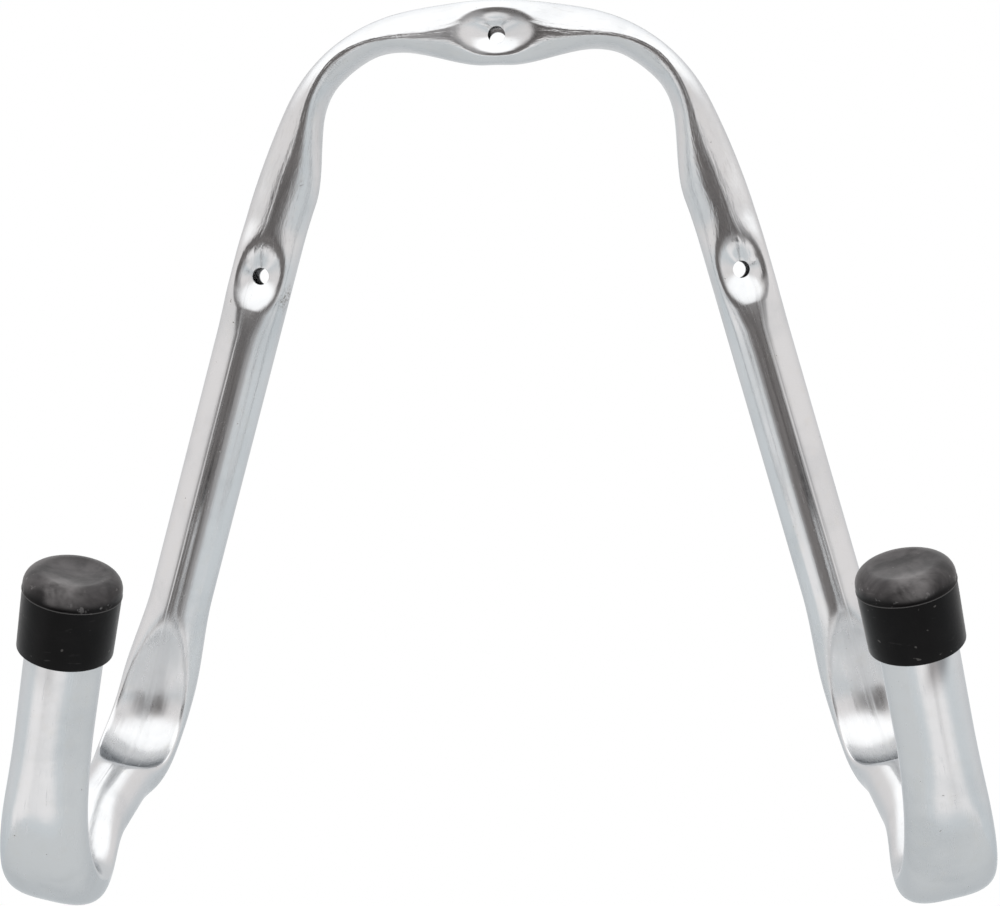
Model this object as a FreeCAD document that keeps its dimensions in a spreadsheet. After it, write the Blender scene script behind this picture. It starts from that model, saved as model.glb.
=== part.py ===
import FreeCAD, Part

import math
import os

import Sketcher

# Garage utility hook: one zinc-plated steel tube bent into an A-frame, with two rubber end caps.
# X is to the right, Y goes into the wall, Z is up. The origin is where the top screw hole meets the wall.

Vector = FreeCAD.Vector

# Driving sizes, in millimetres and degrees.
SIZES = [
    ("tube_diameter", 20.0, "outside diameter of the round tube"),
    ("tube_wall", 1.2, "thickness of the tube's wall"),
    ("crown_radius", 124.0, "centreline radius of the gentle arc at the top"),
    ("crown_half_angle", 12.5, "half of the angle that the top arc turns"),
    ("corner_radius", 47.5, "centreline radius of each upper corner"),
    ("corner_angle", 50.0, "angle that each upper corner turns"),
    ("shoulder_radius", 200.0, "centreline radius of the easing below each corner"),
    ("leg_lean", 16.05, "angle of each leg from the vertical"),
    ("leg_length", 153.0, "straight length of each leg"),
    ("hook_bend_radius", 21.5, "centreline radius of the bend that leaves the wall"),
    ("hook_bend_angle", 80.0, "angle of the bend that leaves the wall"),
    ("floor_length", 58.0, "straight length of the hook's floor"),
    ("arm_bend_radius", 41.0, "centreline radius of the bend up to the arm"),
    ("arm_lean_out", 15.0, "angle of the arm away from the wall"),
    ("arm_lean_in", 13.2, "angle of the arm towards the middle"),
    ("arm_length", 62.3, "straight length of the arm, up to the tube's end"),
    ("corner_width", 25.0, "width of the flattened tube in the upper corners"),
    ("corner_thickness", 9.4, "thickness of the flattened tube in the upper corners"),
    ("bend_width", 24.4, "width of the flattened tube in the first hook bend"),
    ("arm_width", 26.2, "width of the flattened tube in the second hook bend"),
    ("hook_flattening", 1.5, "how far the outer side of the hook's bends is flattened"),
    ("arm_flattening", 5.5, "how far the inner side of the second hook bend is flattened"),
    ("bend_shift", 0.4, "how far the first hook bend is pushed away from the middle"),
    ("arm_shift", 1.7, "how far the second hook bend is pushed towards the middle"),
    ("screw_hole_diameter", 5.5, "diameter of the three screw holes"),
    ("top_hole_drop", 1.3, "drop of the top hole below the tube's centreline"),
    ("side_hole_drop", 12.1, "distance of each side hole down the straight leg"),
    ("dimple_length", 19.0, "length of the dimple round each screw hole"),
    ("dimple_width", 10.8, "width of the dimple round each screw hole"),
    ("dimple_depth", 5.2, "depth of the dimple at its screw hole"),
    ("bend_dish_depth", 10.8, "depth of the dish pressed in the first hook bend"),
    ("arm_dish_depth", 10.2, "depth of the dish pressed in the second hook bend"),
    ("cap_diameter", 24.4, "outside diameter of the cap at its open rim"),
    ("cap_swell", 0.25, "how much larger the cap's radius is at its mould line"),
    ("cap_skirt", 16.7, "length of the cap from its rim to its mould line"),
    ("cap_overlap", 18.3, "length of tube inside the cap"),
    ("cap_dome", 5.6, "height of the cap's rounded top above its mould line"),
    ("cap_shoulder", 4.2, "radius of the cap's rounded shoulder"),
    ("cap_hollow", 0.6, "depth of the shallow hollow in the cap's top"),
    ("cap_clearance", 0.05, "gap between the tube and the cap's bore"),
    ("cap_rim_round", 0.5, "rounding of the cap's open rim"),
]

# How finely the skin is described.
POLES_ROUND = 24
FINE_STEP = 2.6
BEND_STEP = 5.0
DISH_STEP = 4.0
PLAIN_STEP = 30.0
DEGREE = 3

doc = FreeCAD.newDocument("utility_hook")
sheet = doc.addObject("Spreadsheet::Sheet", "Sizes")
for row, (alias, value, meaning) in enumerate(SIZES, start=1):
    sheet.set("A%d" % row, meaning)
    sheet.set("B%d" % row, str(value))
    sheet.setAlias("B%d" % row, alias)
doc.recompute()


def size(alias):
    """Value of a driving size."""
    return float(getattr(sheet, alias))


def angle(alias):
    """Value of a driving angle, in radians."""
    return math.radians(size(alias))


def ramp(value, start, end):
    """Smooth step from 0 at start to 1 at end."""
    share = min(max((value - start) / (end - start), 0.0), 1.0)
    return share * share * (3.0 - 2.0 * share)


def soft_min(first, second, blend):
    """The smaller of two heights, with the crease between them rounded."""
    overlap = max(blend - abs(first - second), 0.0) / blend
    return min(first, second) - overlap * overlap * blend / 4.0


def mix(first, second, share):
    """Value between first and second."""
    return first + (second - first) * share


TUBE_RADIUS = size("tube_diameter") / 2.0
WALL = size("tube_wall")
DOWN_WALL = Vector(0, 0, -1)
OFF_WALL = Vector(0, -1, 0)
RIGHT = Vector(1, 0, 0)


class Run:
    """One straight run or arc of the centreline, with the directions that travel along it."""

    def __init__(self, start, along, face, length, bend=0.0, twist=0.0):
        self.start = start
        self.along = along
        self.face = face
        self.length = length
        self.bend = bend
        self.twist = twist
        self.toward = Vector(face)

    def toward_inside(self, direction):
        """Bend towards this direction, which is square to the run."""
        self.toward = direction
        return self

    def at(self, distance):
        """Centre, direction along the tube and front direction, at a distance along this run."""
        if self.bend == 0.0:
            centre = self.start + self.along * distance
            turned = FreeCAD.Rotation(self.along, math.degrees(self.twist * ramp(distance, 0.0, self.length)))
            return centre, self.along, turned.multVec(self.face)
        radius = self.length / self.bend
        turn = distance / radius
        sideways = self.toward * (radius * (1.0 - math.cos(turn)))
        centre = self.start + self.along * (radius * math.sin(turn)) + sideways
        rotation = FreeCAD.Rotation(self.along.cross(self.toward), math.degrees(turn))
        return centre, rotation.multVec(self.along), rotation.multVec(self.face)


def inward(along):
    """Direction square to the tube in the wall's plane, towards the inside of the A-frame."""
    return Vector(along.z, 0, -along.x)


def right_half():
    """Runs of the right half, from the middle of the crown to the tube's end."""
    runs = []
    centre = Vector(0, -TUBE_RADIUS, size("top_hole_drop"))
    along = Vector(RIGHT)
    face = Vector(OFF_WALL)
    crown = angle("crown_half_angle")
    corner = angle("corner_angle")
    shoulder = math.pi / 2.0 - angle("leg_lean") - crown - corner
    turns = [
        (size("crown_radius"), crown),
        (size("corner_radius"), corner),
        (size("shoulder_radius"), shoulder),
    ]
    for radius, turn in turns:
        runs.append(Run(centre, along, face, radius * turn, bend=turn).toward_inside(inward(along)))
        centre, along, face = runs[-1].at(runs[-1].length)
    runs.append(Run(centre, along, face, size("leg_length")))
    centre, along, face = runs[-1].at(runs[-1].length)
    hook = angle("hook_bend_angle")
    runs.append(Run(centre, along, face, size("hook_bend_radius") * hook, bend=hook).toward_inside(face))
    centre, along, face = runs[-1].at(runs[-1].length)
    lean_out = angle("arm_lean_out")
    lean_in = angle("arm_lean_in")
    arm = Vector(-math.sin(lean_in) * math.cos(lean_out), -math.sin(lean_out), math.cos(lean_in) * math.cos(lean_out))
    upward = arm - along * arm.dot(along)
    upward.normalize()
    twist = math.copysign(face.getAngle(upward), face.cross(upward).dot(along))
    runs.append(Run(centre, along, face, size("floor_length"), twist=twist))
    centre, along, face = runs[-1].at(runs[-1].length)
    turn = along.getAngle(arm)
    runs.append(Run(centre, along, face, size("arm_bend_radius") * turn, bend=turn).toward_inside(upward))
    centre, along, face = runs[-1].at(runs[-1].length)
    runs.append(Run(centre, along, face, size("arm_length")))
    return runs


RUNS = right_half()
STARTS = [sum(run.length for run in RUNS[:index]) for index in range(len(RUNS) + 1)]
CROWN_END, CORNER_END, SHOULDER_END, LEG_END, BEND_END, FLOOR_END, ARM_START, TUBE_END = STARTS[1:]


def travel(distance):
    """Centre, direction along the tube and front direction, at a distance from the crown's middle."""
    for run, start in zip(RUNS, STARTS):
        if distance <= start + run.length:
            return run.at(distance - start)
    return RUNS[-1].at(distance - STARTS[-2])


# Where the tube is pressed, as distances from the middle of the crown.
CORNER_PRESS_START = 4.0
CORNER_PRESS_FULL = CROWN_END + 15.0
CORNER_PRESS_EASE = CORNER_END - 15.0
CORNER_PRESS_END = CORNER_END + 25.0
OUTER_PRESS_START = CROWN_END - 6.0
OUTER_PRESS_FULL = CROWN_END + 24.0
OUTER_PRESS_EASE = CORNER_END - 20.0
OUTER_PRESS_END = CORNER_END + 14.0
SIDE_HOLE = SHOULDER_END + size("side_hole_drop")
DIMPLE_SQUARE_FULL = 5.0
DIMPLE_SQUARE_END = 18.0
BEND_DISH_TOP = LEG_END - 24.0
BEND_DISH_MIDDLE = LEG_END + 21.0
BEND_DISH_LIP = BEND_END + 20.0
BEND_WIDEN_START = LEG_END - 34.0
BEND_WIDEN_FULL = LEG_END
BEND_WIDEN_EASE = BEND_END - 12.0
BEND_WIDEN_END = BEND_END + 16.0
ARM_WIDEN_START = FLOOR_END - 22.0
ARM_WIDEN_FULL = FLOOR_END + 18.0
ARM_WIDEN_EASE = ARM_START - 42.0
ARM_WIDEN_END = ARM_START + 20.0
ARM_DISH_START = FLOOR_END + 1.0
ARM_DISH_MIDDLE = (FLOOR_END + ARM_START) / 2.0 + 8.0
ARM_DISH_END = ARM_START + 16.0

# Forms of the pressed section.
INNER_LEAST = 2.6
FLAT_CORNER = 2.2
FLAT_DIMPLE = 3.2
FLAT_SKIN = 3.2
DIMPLE_CREASE = 3.4
DIMPLE_CONE = 1.35
DISH_CREASE = 2.6
BEND_DISH_HOLLOW = 0.032
ARM_DISH_HOLLOW = 0.035


def corner_press(distance):
    """How far the section is flattened by the upper corner, from 0 to 1."""
    start = ramp(distance, CORNER_PRESS_START, CORNER_PRESS_FULL)
    return start * (1.0 - ramp(distance, CORNER_PRESS_EASE, CORNER_PRESS_END))


def outer_press(distance):
    """How far the outer side of the upper corner is flattened, from 0 to 1."""
    start = ramp(distance, OUTER_PRESS_START, OUTER_PRESS_FULL)
    return start * (1.0 - ramp(distance, OUTER_PRESS_EASE, OUTER_PRESS_END))


def bend_press(distance):
    """How far the section is widened by the bend that leaves the wall, from 0 to 1."""
    start = ramp(distance, BEND_WIDEN_START, BEND_WIDEN_FULL)
    return start * (1.0 - ramp(distance, BEND_WIDEN_EASE, BEND_WIDEN_END))


def arm_press(distance):
    """How far the section is widened by the bend up to the arm, from 0 to 1."""
    start = ramp(distance, ARM_WIDEN_START, ARM_WIDEN_FULL)
    return start * (1.0 - ramp(distance, ARM_WIDEN_EASE, ARM_WIDEN_END))


def dimple_press(distance):
    """How far the punch that makes a dimple squares the section round it, from 0 to 1."""
    nearest = min(distance, abs(distance - SIDE_HOLE))
    return 1.0 - ramp(nearest, DIMPLE_SQUARE_FULL, DIMPLE_SQUARE_END)


def dimple(distance, across, inset):
    """Height of the dimple's floor over the centreline, at a place near a screw hole."""
    nearest = min(distance, abs(distance - SIDE_HOLE))
    if distance < SIDE_HOLE / 2.0:
        across -= size("top_hole_drop")
    radius = TUBE_RADIUS
    half_width = size("dimple_width") / 2.0
    floor = radius - size("dimple_depth")
    rim = math.sqrt(radius * radius - half_width * half_width)
    side_rise = (rim - floor) * across / half_width
    end_rise = size("dimple_depth") * nearest / (size("dimple_length") / 2.0)
    share = math.hypot(side_rise, end_rise) / size("dimple_depth")
    return floor + size("dimple_depth") * share ** DIMPLE_CONE - inset


def bend_dish(distance, across, inset):
    """Height of the dish pressed in the bend that leaves the wall."""
    floor = TUBE_RADIUS - size("bend_dish_depth")
    reach = BEND_DISH_TOP if distance < BEND_DISH_MIDDLE else BEND_DISH_LIP
    share = (distance - BEND_DISH_MIDDLE) / (reach - BEND_DISH_MIDDLE)
    return floor + size("bend_dish_depth") * share * share + BEND_DISH_HOLLOW * across * across - inset


def arm_dish(distance, across, inset):
    """Height of the dish pressed in the bend up to the arm."""
    floor = TUBE_RADIUS - size("arm_dish_depth")
    reach = ARM_DISH_START if distance < ARM_DISH_MIDDLE else ARM_DISH_END
    share = (distance - ARM_DISH_MIDDLE) / (reach - ARM_DISH_MIDDLE)
    return floor + size("arm_dish_depth") * share * share + ARM_DISH_HOLLOW * across * across - inset


def rounded(turn, power):
    """Cosine of a superellipse, which is flatter than a circle's as its power grows."""
    return math.copysign(abs(turn) ** (2.0 / power), turn)


def section(distance, inset):
    """Control points round the tube at a distance along it, inset from its outer skin."""
    centre, along, face = travel(distance)
    side = along.cross(face)
    corner = corner_press(distance)
    bend = bend_press(distance)
    arm = arm_press(distance)
    hook = max(bend, arm)
    radius = TUBE_RADIUS
    pressed = size("corner_thickness")
    front_reach = mix(radius, size("corner_width") / 2.0, corner)
    outer_reach = mix(radius, pressed / 2.0, outer_press(distance))
    inner_reach = max(mix(2.0 * radius, pressed, corner) - outer_reach, INNER_LEAST)
    inner_power = mix(2.0, FLAT_CORNER, corner)
    front_shift = front_reach - radius
    inner_shift = outer_reach - radius
    inner_shift += size("arm_shift") * arm - size("bend_shift") * bend
    hook_reach = max((size("bend_width") / 2.0 - radius) * bend, (size("arm_width") / 2.0 - radius) * arm)
    back_reach = front_reach - size("hook_flattening") * hook
    back_power = mix(2.0, FLAT_SKIN, hook)
    front_power = mix(2.0, FLAT_DIMPLE, dimple_press(distance))
    front_height = front_reach - size("arm_flattening") * arm
    front_shift += back_reach - front_reach
    swell = 3.0 / (2.0 + math.cos(2.0 * math.pi / POLES_ROUND))
    points = []
    for index in range(POLES_ROUND):
        turn = 2.0 * math.pi * index / POLES_ROUND
        front, inner = math.cos(turn), math.sin(turn)
        is_back = front < 0.0
        is_inner = inner > 0.0
        power = max(back_power if is_back else front_power, inner_power if is_inner else 2.0)
        reach_front = (back_reach if is_back else front_height) - inset
        reach_inner = (inner_reach if is_inner else outer_reach) + hook_reach - inset
        height = reach_front * rounded(front, power) * swell
        across = reach_inner * rounded(inner, power) * swell
        if not is_back:
            if distance < BEND_WIDEN_START:
                height = soft_min(height, dimple(distance, across, inset), DIMPLE_CREASE)
            else:
                dish = min(bend_dish(distance, across, inset), arm_dish(distance, across, inset))
                height = soft_min(height, dish, DISH_CREASE)
        points.append(centre + face * (height + front_shift) + side * (across + inner_shift))
    return points


def spread(start, end, step):
    """Distances from start up to, but not including, end, evenly spaced by about step."""
    count = max(int(round((end - start) / step)), 1)
    return [start + (end - start) * index / count for index in range(count)]


def stations(overrun):
    """Distances of the sections of the right half, with an overrun past the tube's end."""
    dimple_reach = size("dimple_length") / 2.0 + FINE_STEP
    found = spread(0.0, dimple_reach, FINE_STEP)
    found += spread(dimple_reach, SIDE_HOLE - dimple_reach, BEND_STEP)
    found += spread(SIDE_HOLE - dimple_reach, SIDE_HOLE + dimple_reach, FINE_STEP)
    found += spread(SIDE_HOLE + dimple_reach, BEND_WIDEN_START, PLAIN_STEP)
    found += spread(BEND_WIDEN_START, BEND_DISH_LIP + DISH_STEP, DISH_STEP)
    found += spread(BEND_DISH_LIP + DISH_STEP, ARM_DISH_END, BEND_STEP)
    found += spread(ARM_DISH_END, ARM_WIDEN_END, BEND_STEP * 2.0)
    found += spread(ARM_WIDEN_END, TUBE_END + overrun, PLAIN_STEP)
    return found + [TUBE_END + overrun]


def skin(inset, overrun):
    """Solid inside one skin of the whole tube, from the left end to the right end."""
    half = [section(distance, inset) for distance in stations(overrun)]
    mirrored = [[Vector(-point.x, point.y, point.z) for point in points] for points in half]
    rows = mirrored[:0:-1] + half
    columns = [list(column) for column in zip(*rows)]
    spans = len(rows) - DEGREE
    surface = Part.BSplineSurface()
    surface.buildFromPolesMultsKnots(
        columns,
        [1] * (POLES_ROUND + 1),
        [DEGREE + 1] + [1] * (spans - 1) + [DEGREE + 1],
        list(range(POLES_ROUND + 1)),
        list(range(spans + 1)),
        True,
        False,
        DEGREE,
        DEGREE,
    )
    side = surface.toShape()
    rings = [edge for edge in side.Edges if edge.isClosed() and not edge.isSeam(side)]
    ends = [Part.Face(Part.Wire(ring)) for ring in rings]
    shell = Part.makeShell([side] + ends)
    shell.sewShape()
    solid = Part.makeSolid(shell)
    if solid.Volume < 0.0:
        solid.reverse()
    return solid


def feature(label, shape):
    """Document object that holds a shape made with the functions above."""
    found = doc.addObject("Part::Feature", label)
    found.Label = label
    found.Shape = shape
    return found


def joined(kind, label, **links):
    """Boolean of document objects."""
    found = doc.addObject(kind, label)
    found.Label = label
    for name, value in links.items():
        setattr(found, name, value)
    return found


def screw_drill(label, centre):
    """Drill through both walls, square to the garage wall, at a place on the wall's plane."""
    drill = doc.addObject("Part::Cylinder", label)
    drill.Label = label
    drill.setExpression("Radius", "Sizes.screw_hole_diameter / 2")
    drill.setExpression("Height", "Sizes.tube_diameter * 2")
    start = Vector(centre.x, TUBE_RADIUS, centre.z)
    drill.Placement = FreeCAD.Placement(start, FreeCAD.Rotation(Vector(0, 0, 1), OFF_WALL))
    return drill


BORE_OVERRUN = 2.0


def tube_frame():
    """The bent, pressed and drilled tube."""
    outer = feature("outer_skin", skin(0.0, 0.0))
    inner = feature("inner_skin", skin(WALL, BORE_OVERRUN))
    hollow = joined("Part::Cut", "hollow_tube", Base=outer, Tool=inner)
    side = travel(SIDE_HOLE)[0]
    drills = [
        screw_drill("top_drill", Vector(0, 0, 0)),
        screw_drill("right_drill", side),
        screw_drill("left_drill", Vector(-side.x, side.y, side.z)),
    ]
    holes = joined("Part::MultiFuse", "screw_holes", Shapes=drills)
    return joined("Part::Cut", "tube_frame", Base=hollow, Tool=holes)


def cap_profile(body):
    """Half section of a cap, with its axis up and its inner face on the tube's end."""
    rim = size("cap_diameter") / 2.0
    bore = TUBE_RADIUS + size("cap_clearance")
    seam = rim + size("cap_swell")
    base = -size("cap_overlap")
    line = base + size("cap_skirt")
    top = line + size("cap_dome")
    corner = size("cap_rim_round")
    shoulder = size("cap_shoulder")
    hollow = size("cap_hollow")
    reach = seam - shoulder
    bowl = (reach * reach + hollow * hollow) / (2.0 * hollow) - shoulder
    tilt = math.asin(reach / (bowl + shoulder))
    sketch = body.newObject("Sketcher::SketchObject", body.Name + "_profile")
    planes = {feature.Role: feature for feature in body.Origin.OriginFeatures}
    sketch.AttachmentSupport = (planes["XZ_Plane"], [""])
    sketch.MapMode = "FlatFace"

    def line_to(first, second):
        start, end = Vector(first[0], first[1], 0), Vector(second[0], second[1], 0)
        return sketch.addGeometry(Part.LineSegment(start, end), False)

    def arc(middle, radius, start, end):
        circle = Part.Circle(Vector(middle[0], middle[1], 0), Vector(0, 0, 1), radius)
        return sketch.addGeometry(Part.ArcOfCircle(circle, start, end), False)

    join = (reach - shoulder * math.sin(tilt), top - shoulder + shoulder * math.cos(tilt))
    bottom = line_to((bore, base), (rim - corner, base))
    lip = arc((rim - corner, base + corner), corner, -math.pi / 2.0, 0.0)
    skirt = line_to((rim, base + corner), (seam, line))
    wall = line_to((seam, line), (seam, top - shoulder))
    edge = arc((reach, top - shoulder), shoulder, 0.0, math.pi / 2.0 + tilt)
    bowl_middle = (0.0, top - hollow + bowl)
    dish = arc(bowl_middle, bowl, -math.pi / 2.0, math.atan2(join[1] - bowl_middle[1], join[0] - bowl_middle[0]))
    axis = line_to((0.0, top - hollow), (0.0, 0.0))
    seat = line_to((0.0, 0.0), (bore, 0.0))
    inside = line_to((bore, 0.0), (bore, base))

    start, end, middle = 1, 2, 3
    for first, second in [
        ((bottom, end), (lip, start)),
        ((lip, end), (skirt, start)),
        ((skirt, end), (wall, start)),
        ((wall, end), (edge, start)),
        ((dish, start), (axis, start)),
        ((axis, end), (seat, start)),
        ((seat, end), (inside, start)),
        ((inside, end), (bottom, start)),
    ]:
        sketch.addConstraint(Sketcher.Constraint("Coincident", first[0], first[1], second[0], second[1]))
    for flat in (bottom, seat):
        sketch.addConstraint(Sketcher.Constraint("Horizontal", flat))
    for upright in (wall, inside, axis):
        sketch.addConstraint(Sketcher.Constraint("Vertical", upright))
    sketch.addConstraint(Sketcher.Constraint("Coincident", axis, end, -1, 1))
    sketch.addConstraint(Sketcher.Constraint("PointOnObject", dish, middle, -2))
    sketch.addConstraint(Sketcher.Constraint("Vertical", lip, start, lip, middle))
    sketch.addConstraint(Sketcher.Constraint("Horizontal", lip, end, lip, middle))
    sketch.addConstraint(Sketcher.Constraint("Horizontal", edge, start, edge, middle))
    sketch.addConstraint(Sketcher.Constraint("Tangent", edge, end, dish, end))
    sizes = [
        ("DistanceX", (-1, 1, inside, start), bore, "Sizes.tube_diameter / 2 + Sizes.cap_clearance"),
        ("DistanceY", (inside, end, -1, 1), -base, "Sizes.cap_overlap"),
        ("DistanceX", (-1, 1, skirt, start), rim, "Sizes.cap_diameter / 2"),
        ("Radius", (lip,), corner, "Sizes.cap_rim_round"),
        ("DistanceX", (-1, 1, wall, start), seam, "Sizes.cap_diameter / 2 + Sizes.cap_swell"),
        ("DistanceY", (bottom, end, wall, start), size("cap_skirt"), "Sizes.cap_skirt"),
        ("Radius", (edge,), shoulder, "Sizes.cap_shoulder"),
        ("DistanceY", (wall, start, edge, middle), size("cap_dome") - shoulder, "Sizes.cap_dome - Sizes.cap_shoulder"),
        ("DistanceY", (edge, middle, axis, start), shoulder - hollow, "Sizes.cap_shoulder - Sizes.cap_hollow"),
    ]
    for kind, places, value, expression in sizes:
        index = sketch.addConstraint(Sketcher.Constraint(kind, *places, value))
        sketch.setExpression("Constraints[%d]" % index, expression)
    return sketch


def end_cap(label, mirrored):
    """A rubber cap, turned about its own axis and pushed over one end of the tube."""
    body = doc.addObject("PartDesign::Body", label)
    body.Label = label
    sketch = cap_profile(body)
    turned = body.newObject("PartDesign::Revolution", label + "_turned")
    turned.Profile = sketch
    turned.ReferenceAxis = (sketch, ["V_Axis"])
    turned.Angle = 360.0
    sketch.Visibility = False
    centre, along, _ = travel(TUBE_END)
    if mirrored:
        centre, along = Vector(-centre.x, centre.y, centre.z), Vector(-along.x, along.y, along.z)
    body.Placement = FreeCAD.Placement(centre, FreeCAD.Rotation(Vector(0, 0, 1), along))
    return body


SUB_PARTS = [
    tube_frame(),
    end_cap("left_cap", mirrored=True),
    end_cap("right_cap", mirrored=False),
]
doc.recompute()

for item in doc.Objects:
    if "Invalid" in item.State or "Error" in item.State:
        raise RuntimeError("%s failed: %s" % (item.Label, item.State))
os.makedirs("parts", exist_ok=True)
for item in SUB_PARTS:
    if item.Shape.isNull() or not item.Shape.isValid():
        raise RuntimeError("%s has no valid shape" % item.Label)
    item.Shape.exportStep("parts/%s.step" % item.Label)
    print("%s: %d solid, %.1f mm3" % (item.Label, len(item.Shape.Solids), item.Shape.Volume))
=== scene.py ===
# %% [markdown]
# A garage utility hook: one zinc-plated steel tube, bent into an A-frame with two upturned arms,
# and a rubber cap pushed over each end. The tube is flattened where it was bent tightly, and a
# punch has pressed a dimple round each screw hole. This notebook rebuilds it the way it is made:
# a strip is rolled into a tube, pressed, bent and drilled, and the caps are turned and pushed on.

# %% Load the fixed frame
import math

import bpy
import numpy as np
from mathutils import Matrix, Quaternion, Vector


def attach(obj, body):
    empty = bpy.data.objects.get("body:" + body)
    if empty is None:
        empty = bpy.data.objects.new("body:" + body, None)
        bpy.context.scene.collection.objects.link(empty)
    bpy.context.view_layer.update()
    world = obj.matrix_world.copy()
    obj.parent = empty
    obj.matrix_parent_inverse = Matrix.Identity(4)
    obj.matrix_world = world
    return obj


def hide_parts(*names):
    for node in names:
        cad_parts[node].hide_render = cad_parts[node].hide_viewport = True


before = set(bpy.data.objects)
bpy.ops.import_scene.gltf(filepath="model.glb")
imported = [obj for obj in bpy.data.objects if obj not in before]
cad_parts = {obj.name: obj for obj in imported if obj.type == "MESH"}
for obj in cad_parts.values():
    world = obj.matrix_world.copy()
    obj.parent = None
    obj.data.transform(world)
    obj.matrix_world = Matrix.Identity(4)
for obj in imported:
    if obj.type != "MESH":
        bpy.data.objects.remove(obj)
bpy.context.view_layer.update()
MM = 0.001

# %% [markdown]
# Operators act on whatever is selected, and the loaded frame arrives selected. These helpers
# make the selection explicit before each step, and apply a modifier as soon as it is set up.

# %% Selection and modifier helpers
def only(piece):
    """Makes one piece the only selected and active one."""
    bpy.ops.object.select_all(action="DESELECT")
    piece.select_set(True)
    bpy.context.view_layer.objects.active = piece
    return piece


def newest(name):
    """Names the piece that an operator has just added."""
    piece = bpy.context.object
    piece.name = name
    piece.data.name = name
    return only(piece)


def edit(piece, mode, **choice):
    """Opens a piece in edit mode with the faces, edges or vertices that pass a test selected."""
    only(piece)
    bpy.ops.object.mode_set(mode="EDIT")
    bpy.ops.mesh.select_mode(type=mode)
    bpy.ops.mesh.select_all(action="DESELECT")
    bpy.ops.object.mode_set(mode="OBJECT")
    parts = {"FACE": piece.data.polygons, "EDGE": piece.data.edges, "VERT": piece.data.vertices}[mode]
    for part in parts:
        part.select = choice["where"](part)
    bpy.ops.object.mode_set(mode="EDIT")


def finish_edit():
    """Leaves edit mode."""
    bpy.ops.object.mode_set(mode="OBJECT")


def modify(piece, kind, **settings):
    """Adds a modifier and applies it at once."""
    only(piece)
    modifier = piece.modifiers.new(kind.title(), kind)
    for key, value in settings.items():
        setattr(modifier, key, value)
    bpy.ops.object.modifier_apply(modifier=modifier.name)


def smooth(piece, degrees):
    """Smooth shading, with edges sharper than an angle kept."""
    only(piece)
    bpy.ops.object.shade_smooth_by_angle(angle=math.radians(degrees))


# %% [markdown]
# The camera is the one that took the photograph: a fit to the outline gave its place and lens.
# It stands about 0.6 m in front of the wall, a little right of the middle, and looks slightly down.

# %% Camera
CAMERA_PLACE = Vector((20.6, -592.3, -78.7)) * MM
CAMERA_YAW = -0.0371
CAMERA_PITCH = -0.0931
CAMERA_ROLL = -0.0147
FOCAL_PIXELS = 1797.8
IMAGE_WIDTH = 1000
SENSOR = 36.0

ahead = Vector((math.sin(CAMERA_YAW) * math.cos(CAMERA_PITCH),
                math.cos(CAMERA_YAW) * math.cos(CAMERA_PITCH),
                math.sin(CAMERA_PITCH)))
level = Vector((math.cos(CAMERA_YAW), -math.sin(CAMERA_YAW), 0.0))
upright = level.cross(ahead)
camera_right = level * math.cos(CAMERA_ROLL) + upright * math.sin(CAMERA_ROLL)
camera_up = upright * math.cos(CAMERA_ROLL) - level * math.sin(CAMERA_ROLL)

bpy.ops.object.camera_add(location=CAMERA_PLACE)
camera = bpy.context.object
camera.name = "camera"
camera.rotation_euler = Matrix((camera_right, camera_up, -ahead)).transposed().to_euler()
camera.data.sensor_width = SENSOR
camera.data.lens = SENSOR * FOCAL_PIXELS / IMAGE_WIDTH
camera.data.clip_end = 20.0
bpy.context.scene.camera = camera
print("Lens, mm:", round(camera.data.lens, 1))

# %% [markdown]
# The tube's centreline is straight runs joined by arcs, as a tube bender leaves it. A walker
# carries three directions along it: the tube's own, the front, and the side towards the middle.
# Each run knows its length, its turn, and the direction that it turns towards.

# %% Centreline of the bent tube
TUBE_RADIUS = 10.0 * MM
WALL = 1.2 * MM
HOLE_DROP = 1.3 * MM
CROWN_RADIUS = 124.0 * MM
CROWN_TURN = math.radians(12.5)
CORNER_RADIUS = 47.5 * MM
CORNER_TURN = math.radians(50.0)
SHOULDER_RADIUS = 200.0 * MM
LEG_LEAN = math.radians(16.05)
LEG_LENGTH = 153.0 * MM
HOOK_RADIUS = 21.5 * MM
HOOK_TURN = math.radians(80.0)
FLOOR_LENGTH = 58.0 * MM
ARM_RADIUS = 41.0 * MM
ARM_LEAN_OUT = math.radians(15.0)
ARM_LEAN_IN = math.radians(13.2)
ARM_LENGTH = 62.3 * MM


class Run:
    """A straight run or an arc of the centreline."""

    def __init__(self, start, along, front, length, turn=0.0, toward=None, twist=0.0):
        self.start, self.along, self.front = start.copy(), along.copy(), front.copy()
        self.length, self.turn, self.toward, self.twist = length, turn, toward, twist

    def at(self, distance):
        """Centre, direction along and front direction at a distance along the run."""
        if self.turn == 0.0:
            twist = Quaternion(self.along, self.twist * ramp(distance, 0.0, self.length))
            return self.start + self.along * distance, self.along.copy(), twist @ self.front
        radius = self.length / self.turn
        angle = distance / radius
        bent = Quaternion(self.along.cross(self.toward), angle)
        centre = self.start + self.along * (radius * math.sin(angle))
        centre = centre + self.toward * (radius * (1 - math.cos(angle)))
        return centre, bent @ self.along, bent @ self.front

    def end(self):
        """Where the next run starts."""
        return self.at(self.length)


def ramp(value, start, end):
    """Smooth step from 0 at start to 1 at end."""
    share = np.clip((value - start) / (end - start), 0.0, 1.0)
    return share * share * (3.0 - 2.0 * share)


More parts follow.
